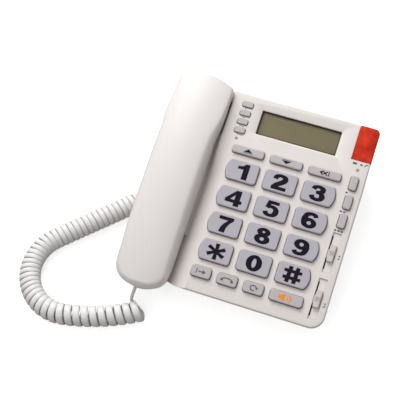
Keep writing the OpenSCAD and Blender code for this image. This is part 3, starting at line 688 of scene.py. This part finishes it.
def ring(cx, cy, rx, ry, wx, wy, n=36):
    """A closed oval ribbon, wx wide at its sides and wy at its top."""
    out = []
    for i in range(n):
        quad = []
        for k, sgn in ((i, 1), (i, -1), (i + 1, -1), (i + 1, 1)):
            a = 2 * pi * k / n
            quad.append((cx + (rx + sgn * wx / 2) * cos(a), cy + (ry + sgn * wy / 2) * sin(a)))
        out.append(quad)
    return out


def bar(x0, y0, x1, y1, w):
    return stroke([(x0, y0, w), (x1, y1, w)], 1)


def rect(x0, x1, y0, y1):
    return [[(x0, y0), (x1, y0), (x1, y1), (x0, y1)]]


SIX = stroke([(4.0, 3.7, 3.3), (3.0, 5.6, 3.3), (0.5, 6.15, 3.1), (-2.3, 4.9, 3.6), (-3.5, 1.4, 3.9),
              (-3.55, -1.7, 3.9), (-2.6, -4.8, 3.7), (0.1, -6.1, 3.2)])
SIX += ring(0.1, -2.75, 3.35, 3.35, 3.7, 3.1)
GLYPHS = {
    "1": [[(0.2, -7.65), (4.2, -7.65), (4.2, 7.65), (1.1, 7.65), (0.2, 5.9), (-1.2, 4.9), (-3.8, 4.4),
           (-3.8, 1.7), (0.2, 1.9)]],
    "2": stroke([(-3.6, 2.4, 3.6), (-3.2, 4.6, 3.5), (-1.6, 5.95, 3.2), (0.4, 6.15, 3.0), (2.7, 5.3, 3.6),
                 (3.3, 3.3, 4.0), (2.5, 1.3, 4.1), (0.4, -0.9, 4.0), (-2.2, -3.3, 3.8), (-3.3, -5.6, 3.8)])
    + rect(-5.2, 5.3, -7.65, -4.3),
    "3": stroke([(-3.6, 3.1, 3.5), (-2.7, 5.2, 3.4), (-0.2, 6.15, 3.0), (2.4, 5.3, 3.6), (2.9, 3.3, 3.9),
                 (1.8, 1.4, 3.4), (-1.3, 0.75, 2.9)])
    + stroke([(-1.3, 0.75, 2.9), (1.9, 0.3, 3.4), (3.4, -2.4, 4.0), (2.7, -5.0, 3.7), (0.0, -6.15, 3.0),
              (-2.8, -5.2, 3.5), (-3.9, -2.8, 3.6)]),
    "4": rect(0.7, 4.6, -7.65, 7.65) + rect(-5.8, 6.2, -4.7, -1.6)
    + [[(-5.8, -1.7), (-2.3, -1.7), (0.9, 3.3), (0.9, 7.65)]],
    "5": rect(-3.2, 4.6, 4.5, 7.65) + [[(-3.4, 7.65), (-0.4, 7.65), (-1.2, 1.6), (-4.5, 0.4)]]
    + stroke([(-3.2, 0.9, 2.6), (-1.0, 2.0, 3.0), (1.5, 1.8, 3.3), (3.3, -0.2, 3.9), (3.4, -2.9, 4.0),
              (2.3, -5.3, 3.6), (-0.2, -6.15, 3.0), (-2.7, -5.4, 3.4), (-3.8, -3.2, 3.6)]),
    "6": SIX,
    "7": [[(5.2, 7.65), (5.2, 5.0), (2.8, 1.6), (1.3, -2.6), (0.9, -7.65), (-3.3, -7.65), (-2.6, -3.0),
           (-1.1, 0.8), (1.3, 4.3), (-5.2, 4.3), (-5.2, 7.65)]],
    "8": ring(0, 3.75, 2.85, 2.4, 3.7, 3.0) + ring(0, -2.95, 3.45, 3.15, 3.9, 3.1),
    "9": [[(-x, -y) for x, y in q] for q in SIX],
    "0": ring(0, 0, 3.5, 6.05, 4.1, 3.2),
    "star": [[(cos(radians(60 * a + 90)) * r_ - sin(radians(60 * a + 90)) * w_,
               sin(radians(60 * a + 90)) * r_ + cos(radians(60 * a + 90)) * w_)
              for r_, w_ in ((0.0, 1.2), (7.9, 1.75), (7.9, -1.75), (0.0, -1.2))] for a in range(6)],
    "hash": bar(-3.4, -7.8, -2.4, 7.8, 3.3) + bar(2.4, -7.8, 3.4, 7.8, 3.3)
    + rect(-7.2, 7.2, 1.7, 4.8) + rect(-7.2, 7.2, -4.8, -1.7),
}


def legend(name, body, material, polygons, at, h, scale=(1.0, 1.0), thick=0.07):
    """Pad printing: flat shapes a hair above the surface, thickened downwards."""
    verts, faces = [], []
    for k, poly in enumerate(polygons):
        n = len(verts)
        lift = 0.004 * (k % 5)
        verts += [panel(at[0] + x * scale[0], at[1] + y * scale[1], h + lift) for x, y in poly]
        faces.append(tuple(range(n, n + len(poly))))
    obj = make(name, verts, faces, material, smooth=False)
    bm = bmesh.new()
    bm.from_mesh(obj.data)
    up = Vector((0, -sin(TILT), cos(TILT)))
    bm.normal_update()
    for f in bm.faces:
        if f.normal.dot(up) < 0:
            f.normal_flip()
    bm.to_mesh(obj.data)
    bm.free()
    mod = obj.modifiers.new("print thickness", "SOLIDIFY")
    mod.thickness = thick * MM
    mod.offset = -1
    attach(obj, body)
    return obj


PRINT_H = KEY_TOP + 0.05
for name, x, s, w, h, r, side in KEYS[:12]:
    glyph = name.split("_")[1]
    dx = -0.8 * side
    size = (1.16, 0.98) if glyph in ("star", "hash") else (1.36, 1.01)
    legend("print_" + glyph, name, INK, GLYPHS[glyph], (x + dx, s), PRINT_H, size)

# function keys carry pictograms
ICONS = {
    "key_up": [[(-4.5, -1.2), (4.5, -1.2), (0, 1.9)]] + rect(-4.5, 4.5, -2.2, -1.7),
    "key_down": [[(-4.5, 1.2), (0, -1.9), (4.5, 1.2)]] + rect(-4.5, 4.5, 1.7, 2.2),
    "key_delete": [[(-5.2, 0), (-2.4, 2.2), (-2.4, -2.2)]] + bar(-2.2, -1.9, 2.6, 1.9, 1.0)
    + bar(-2.2, 1.9, 2.6, -1.9, 1.0) + rect(3.4, 4.2, -2.2, 2.2),
    "key_out": rect(-4.6, -3.7, -2.4, 2.4) + rect(-2.6, 2.0, -0.5, 0.5)
    + [[(1.6, -2.1), (4.8, 0), (1.6, 2.1)]],
    "key_flash": stroke([(-5.4, -0.6, 1.4), (-3.0, 0.9, 1.1), (0, 1.3, 1.1), (3.0, 0.9, 1.1),
                         (5.4, -0.6, 1.4)])
    + rect(-6.0, -3.6, -2.0, -0.4) + rect(3.6, 6.0, -2.0, -0.4),
    "key_redial": stroke([(2.9, 0.6, 1.0), (1.6, 2.0, 1.0), (-0.6, 2.2, 1.0), (-2.6, 1.0, 1.0),
                          (-2.6, -1.1, 1.0), (-0.8, -2.3, 1.0), (1.4, -2.1, 1.0)])
    + [[(1.5, 0.9), (4.6, 1.2), (3.3, -1.3)]],
}
for name, x, s, w, h, r, side in KEYS[12:18]:
    ink = GREY_INK if name in ("key_out", "key_flash", "key_redial") else INK
    legend("print_" + name[4:], name, ink, ICONS[name], (x, s), PRINT_H)
speaker_icon = rect(-7.6, -5.2, -1.7, 1.7) + [[(-5.3, -1.7), (-1.0, -4.0), (-1.0, 4.0), (-5.3, 1.7)]] + \
    stroke([(0.8, -2.0, 1.1), (1.7, 0, 1.1), (0.8, 2.0, 1.1)]) + \
    stroke([(2.9, -3.2, 1.2), (4.4, 0, 1.2), (2.9, 3.2, 1.2)])
legend("print_speaker", "key_speaker", ORANGE_INK, speaker_icon, (COL[2], 19.1), PRINT_H, (1.0, 0.95))

# painted shadow: a dark border inside the display window, wider along its top and left, standing in for the
# shade cast by the bezel's wall
x0, x1, s0, s1, w = -14.3, 62.9, 162.9, 186.1, 0.7
legend("painted_shadow_display_border", "base", INK, rect(x0, x1, s1 - w, s1) + rect(x0, x1, s0, s0 + w * 0.6)
       + rect(x0, x0 + w, s0, s1) + rect(x1 - w * 0.6, x1, s0, s1), (0, 0), -2.55, thick=0.04)

# small marks on the case: one, two and three dashes beside the keys they belong to
marks = []
for i, s in enumerate((130.8, 112.0, 93.4)):
    marks += [[(x + 87.0, y + s) for x, y in q] for k in range(i + 1)
              for q in rect(-4.2 + k * 3.1, -1.9 + k * 3.1, -0.75, 0.75)]
for i, s in enumerate((183.0, 174.2, 165.3, 156.6)):
    marks += [[(x - 29.6, y + s) for x, y in q] for k in range(i + 1)
              for q in rect(-2.2 + k * 1.6, -1.1 + k * 1.6, -0.45, 0.45)]
for s in (70.0, 24.0):
    marks += [[(x + 94.0, y + s) for x, y in q] for q in
              [[(-1.2, -2.4), (1.2, -2.4), (1.2, -0.6)], [(-1.2, 1.0), (0.3, 1.0), (1.2, 2.2), (1.2, -0.2)]]]
marks += [[(x + 83.6, y + 160.2) for x, y in q] for q in rect(-2.2, 1.8, -1.0, 1.0)]
marks += [[(88.0, 159.4), (91.2, 159.4), (89.6, 161.6)]]
marks += [[(x + 94.6, y + 160.4) for x, y in q] for q in
          stroke([(-1.6, -1.2, 0.9), (-0.4, 0.6, 0.8), (1.4, 1.2, 0.9)], 4)]
legend("case_marks", "base", GREY_INK, marks, (0, 0), 0.03, thick=0.05)

# ------------------------------------------------------------------ handset

FRONT, LENGTH = -12.0, 215.0
REAR = FRONT + LENGTH
GRIP, EAR = 25.3, 28.0          # half widths
CROWN = 22.0                    # highest point of the back over the panel's face
SPLIT = 3.0                     # where the handset's two shells meet


def half_width(s):
    """Half of the handset's width at s, without its ends' rounding."""
    bulge = 146.0
    d = (s - 172.0) * (0.4 if s > 172 else 1)
    ear = -bulge + EAR + sqrt(bulge * bulge - d * d) if abs(d) < 60 else 0
    a = max(GRIP, ear)
    return a + 0.5 * max(0.0, 1.2 - abs(GRIP - ear)) ** 2 * 0.2


def left_share(s):
    """How far the left side stands out against the right: its outline runs nearly straight."""
    grip = min(max((s - FRONT) / 50, 0.0), 1.0) * min(max((172 - s) / 60, 0.0), 1.0)
    ear = min(max((s - 150) / 30, 0.0), 1.0)
    return 1 + 0.095 * grip * (2 - grip) - 0.045 * ear * ear * (3 - 2 * ear)


def handset_outline(n=44):
    """Plan of the handset, anticlockwise from the front tip's right."""
    right = []
    fl = 19.0
    for i in range(n + 1):
        a = pi / 2 * i / n
        right.append((GRIP * sin(a) ** 0.86, FRONT + fl * (1 - cos(a) ** 0.86 if cos(a) > 1e-9 else 1)))
    s = FRONT + fl
    while s + 6 < REAR - 12:
        s += 6
        right.append((half_width(s), s))
    w = half_width(REAR - 7)
    sag, cr = 5.0, 4.0          # bow of the rear edge and radius of its corners
    for i in range(7):
        a = pi / 2 * i / 6
        right.append((w - cr + cr * cos(a), REAR - sag - cr + cr * sin(a)))
    for i in range(1, 9):
        x = (w - cr) * (1 - i / 8)
        right.append((x, REAR - sag * (x / (w - cr)) ** 2))
    left = [(-x * left_share(y), y) for x, y in reversed(right[1:-1])]
    return right + left


def crown(x, s):
    return CROWN - (s - 108.0) ** 2 / (2 * 526.0) - x * x / (2 * 72.0)


def handset_top():
    """Rings from inside the seam, up the side and over the shoulder, to the edge of the back."""
    plan = handset_outline()
    # how far in from the side and how far below the crown each ring of the shoulder lies
    shoulder = [(0, 7.0), (0.15, 5.6), (0.5, 4.2), (1.1, 2.9), (2.0, 1.75), (3.1, 0.85), (4.2, 0.28),
                (5.2, 0.02)]
    spine = [(0.0, min(max(y, FRONT + 26), REAR - 27)) for x, y in plan]
    rings = [[(x * 0.92, y * 0.985 + 1, SPLIT + 0.4) for x, y in plan]]
    rings.append([(x, y, SPLIT + 0.35) for x, y in plan])
    for i, (d, drop) in enumerate(shoulder):
        ring_ = []
        for (x, y), (sx, sy) in zip(plan, spine):
            v = Vector((x - sx, y - sy))
            # the shoulder is broad along the grip and crisp round the earpiece
            t = min(max((y - 120) / 60, 0.0), 1.0)
            size = 0.92 - 0.57 * t * t * (3 - 2 * t)
            k = max(v.length - d * size, 0.0) / v.length
            px, py = sx + v.x * k, sy + v.y * k
            ring_.append((px, py, max(crown(px, py) - drop * size, SPLIT + 1.0 + 0.1 * i)))
        rings.append(ring_)
    return rings


def handset_skin(cross=13):
    """Mesh of the handset's back: the rings, closed below, and a net of lines across the back."""
    rings = handset_top()
    v, f = loft(rings)
    f.pop()
    n = len(rings[0])
    half, last = n // 2, len(v) - n
    rows = [[last]]
    for i in range(1, half):
        a, b = Vector(rings[-1][i]), Vector(rings[-1][n - i])
        row = [last + i]
        for k in range(1, cross):
            p = a.lerp(b, k / cross)
            v.append((p.x, p.y, crown(p.x, p.y)))
            row.append(len(v) - 1)
        rows.append(row + [last + n - i])
    rows.append([last + half])
    for a, b in zip(rows, rows[1:]):
        if len(a) == 1 or len(b) == 1:
            tip, row = (a[0], b) if len(a) == 1 else (b[0], a)
            f += [(tip, row[k], row[k + 1]) for k in range(cross)]
        else:
            f += [(a[k], a[k + 1], b[k + 1], b[k]) for k in range(cross)]
    return [panel(CRADLE_X + x, y, h) for x, y, h in v], f


back = make("handset_back", *handset_skin(), HANDSET)
finish_piece(back, "handset", "case", "handset_outer_shell", angle=60)

# ------------------------------------------------------------------ cord


COIL_R, COIL_Z = 10.25, 8.45    # outer radius of the coil and height of its middle line
TURN, TURN_R, FAR_R = Vector((-142.0, -109.4, 0)), 41.3, 189.0
# distance along the coil and the step from turn to turn there
PITCH = [(0, 5.4), (90, 5.4), (125, 4.8), (150, 4.9), (178, 6.6), (200, 7.9), (400, 7.9)]


def compass(a):
    return Vector((cos(radians(a)), sin(radians(a)), 0))


def cord_path(step=0.25):
    """The coil's middle line on the desk: a straight run, a tight turn and a wide arc."""
    first = TURN + TURN_R * compass(135)
    pts = [first + compass(45) * 89 * (1 - i / 60) for i in range(60)]
    pts += [TURN + TURN_R * compass(135 + 145 * i / 90) for i in range(90)]
    wide = TURN - (FAR_R - TURN_R) * compass(280)
    pts += [wide + FAR_R * compass(280 + 23.2 * i / 50) for i in range(51)]
    out, left = [pts[0]], step
    for a, b in zip(pts, pts[1:]):
        d, pos = (b - a).length, 0.0
        while d - pos >= left:
            pos += left
            out.append(a.lerp(b, pos / d))
            left = step
        left -= d - pos
    return out


def pitch_at(s):
    for (s0, p0), (s1, p1) in zip(PITCH, PITCH[1:]):
        if s <= s1:
            return p0 + (p1 - p0) * (s - s0) / (s1 - s0)


def bezier(a, b, c, d, n):
    return [a * (1 - t) ** 3 + b * 3 * t * (1 - t) ** 2 + c * 3 * t * t * (1 - t) + d * t ** 3
            for t in [i / n for i in range(n + 1)]]


def coil():
    """Stations of the coil: middle, axial direction, outward direction, half width, half thickness."""
    path, out = cord_path(), []
    thick, per, s, phase = 1.7, 22, 0.0, -pi / 2
    total = 0.25 * (len(path) - 2)
    while s < total - 7 or (phase + pi / 2) % (2 * pi) > 2 * pi / per and s < total:
        i = int(s / 0.25)
        d = (path[min(i + 4, len(path) - 1)] - path[max(i - 4, 0)]).normalized()
        side = Vector((-d.y, d.x, 0))
        outward = side * cos(phase) + Vector((0, 0, 1)) * sin(phase)
        p = pitch_at(s)
        mid = Vector((path[i].x, path[i].y, COIL_Z)) + outward * (COIL_R - thick)
        out.append((mid, d, outward, min(p * 0.51, 3.45), thick))
        phase += 2 * pi / per
        s += p / per
    return out


def lead(points, first, radius=1.55):
    """Stations along a straight lead that grows out of the coil's station first."""
    out, u = [], first[1]
    for i, p in enumerate(points):
        d = (points[min(i + 1, len(points) - 1)] - points[max(i - 1, 0)]).normalized()
        u = (u - d * u.dot(d)).normalized()
        w = d.cross(u)
        k = min(i / 4, 1.0)
        out.append((p, u, w, first[3] + (radius - first[3]) * k, first[4] + (radius - first[4]) * k))
    return out


turns = coil()
jack_end = Vector((-BASE_W / 2 + 1.2, 10.0, 15.5))
plug_dir = Vector((0, -sin(radians(144)), cos(radians(144))))
plug_end = panel(CRADLE_X - 5, FRONT + 6.5, -10) + plug_dir * 4.6
head, tail = turns[0], turns[-1]
before = (turns[0][0] - turns[1][0]).normalized()
after = (turns[-1][0] - turns[-2][0]).normalized()
lead_in = bezier(head[0], head[0] + before * 9, jack_end + Vector((-9, 0, -2)), jack_end, 16)
knee = Vector((-79.6, -116.0, 5.0))
lead_out = bezier(tail[0], tail[0] + after * 7, knee + Vector((3, -2, -4.5)), knee, 14)
lead_out += bezier(knee, knee + Vector((-1.6, 1.1, 2.4)), plug_end + plug_dir * 4, plug_end, 12)[1:]


def flat(c, power=0.78):
    """Turns a circle's cosine into that of a squarer oval."""
    return abs(c) ** power * (1 if c > 0 else -1)


def skin(stations, sides=16):
    """Oval sections at the stations; each section follows the last one without a twist."""
    rings = []
    for i, (p, u, w, a, b) in enumerate(stations):
        ring_ = [p + u * a * flat(cos(2 * pi * k / sides)) + w * b * flat(sin(2 * pi * k / sides))
                 for k in range(sides)]
        if rings:
            last = rings[-1]
            best = min(range(sides), key=lambda j: (ring_[j] - last[0]).length
                       + (ring_[(j + 4) % sides] - last[4]).length)
            flip = list(reversed(ring_))
            best2 = min(range(sides), key=lambda j: (flip[j] - last[0]).length
                        + (flip[(j + 4) % sides] - last[4]).length)
            one = ring_[best:] + ring_[:best]
            two = flip[best2:] + flip[:best2]
            ring_ = min((one, two), key=lambda r_: sum((x - y).length for x, y in zip(r_, last)))
        rings.append(ring_)
    return loft(rings)


stations = list(reversed(lead(lead_in, head)))[:-1] + turns + lead(lead_out, tail)[1:]
cord = make("coiled_cord", *skin(stations), CORD)
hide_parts("coil_cord")
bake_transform(cord)

# ------------------------------------------------------------------ floor, light and camera

mesh = bpy.data.meshes.new("floor")
bm = bmesh.new()
bmesh.ops.create_grid(bm, x_segments=4, y_segments=4, size=3.0)
bm.to_mesh(mesh)
bm.free()
floor = bpy.data.objects.new("floor", mesh)
floor.location = (0, 0, -2.0 * MM)
bpy.context.scene.collection.objects.link(floor)
m, n, l, b = new_material("pale_floor")
b.inputs["Base Color"].default_value = (0.93, 0.93, 0.93, 1)
b.inputs["Roughness"].default_value = 0.6
b.inputs["Specular IOR Level"].default_value = 0.1
b.inputs["Emission Color"].default_value = (1, 1, 1, 1)
b.inputs["Emission Strength"].default_value = 0.62
out = n["Material Output"]
dim = n.new("ShaderNodeBsdfDiffuse")
dim.inputs["Color"].default_value = (0.30, 0.28, 0.27, 1)
path = n.new("ShaderNodeLightPath")
pick = n.new("ShaderNodeMixShader")
l.new(path.outputs["Is Camera Ray"], pick.inputs["Fac"])
l.new(dim.outputs["BSDF"], pick.inputs[1])
l.new(b.outputs["BSDF"], pick.inputs[2])
l.new(pick.outputs["Shader"], out.inputs["Surface"])
mesh.materials.append(m)

world = bpy.data.worlds.new("studio")
bpy.context.scene.world = world
world.use_nodes = True
tree = world.node_tree
sky = tree.nodes["Background"]
sky.inputs["Color"].default_value = (1.0, 0.995, 0.99, 1)
# the studio is brighter behind and to the left than in front and to the right
where = tree.nodes.new("ShaderNodeTexCoord")
lean = tree.nodes.new("ShaderNodeVectorMath")
lean.operation = "DOT_PRODUCT"
lean.inputs[1].default_value = (-0.55, 0.55, 0.35)
level = tree.nodes.new("ShaderNodeMapRange")
level.inputs["From Min"].default_value = -0.8
level.inputs["From Max"].default_value = 0.8
level.inputs["To Min"].default_value = 0.18
level.inputs["To Max"].default_value = 0.60
tree.links.new(where.outputs["Generated"], lean.inputs[0])
tree.links.new(lean.outputs["Value"], level.inputs["Value"])
seen = tree.nodes.new("ShaderNodeLightPath")
plain = tree.nodes.new("ShaderNodeMix")
plain.inputs["B"].default_value = 1.0
tree.links.new(seen.outputs["Is Camera Ray"], plain.inputs["Factor"])
tree.links.new(level.outputs["Result"], plain.inputs["A"])
tree.links.new(plain.outputs["Result"], sky.inputs["Strength"])


def area(name, at, target, size, power):
    data = bpy.data.lights.new(name, "AREA")
    data.shape = "DISK"
    data.size = size
    data.energy = power
    obj = bpy.data.objects.new(name, data)
    obj.location = at
    obj.rotation_euler = (Vector(target) - Vector(at)).to_track_quat("-Z", "Y").to_euler()
    bpy.context.scene.collection.objects.link(obj)


area("key_light", (-0.55, 0.72, 1.05), (0, 0.02, 0.03), 0.9, 13.6)
area("fill_light", (-0.2, -0.9, 1.3), (0, 0, 0.03), 1.2, 3.6)

camera = bpy.data.cameras.new("camera")
camera.sensor_width = 36.0
camera.lens = 85.0752
camera.clip_start, camera.clip_end = 0.01, 20
eye = bpy.data.objects.new("camera", camera)
eye.matrix_world = Matrix(((0.943495, -0.280288, 0.17679, 0.11258), (0.329161, 0.854371, -0.402123, -0.37278),
                           (-0.038334, 0.437594, 0.898355, 0.8458), (0, 0, 0, 1)))
bpy.context.scene.collection.objects.link(eye)
bpy.context.scene.camera = eye
bpy.context.scene.view_settings.view_transform = "Standard"
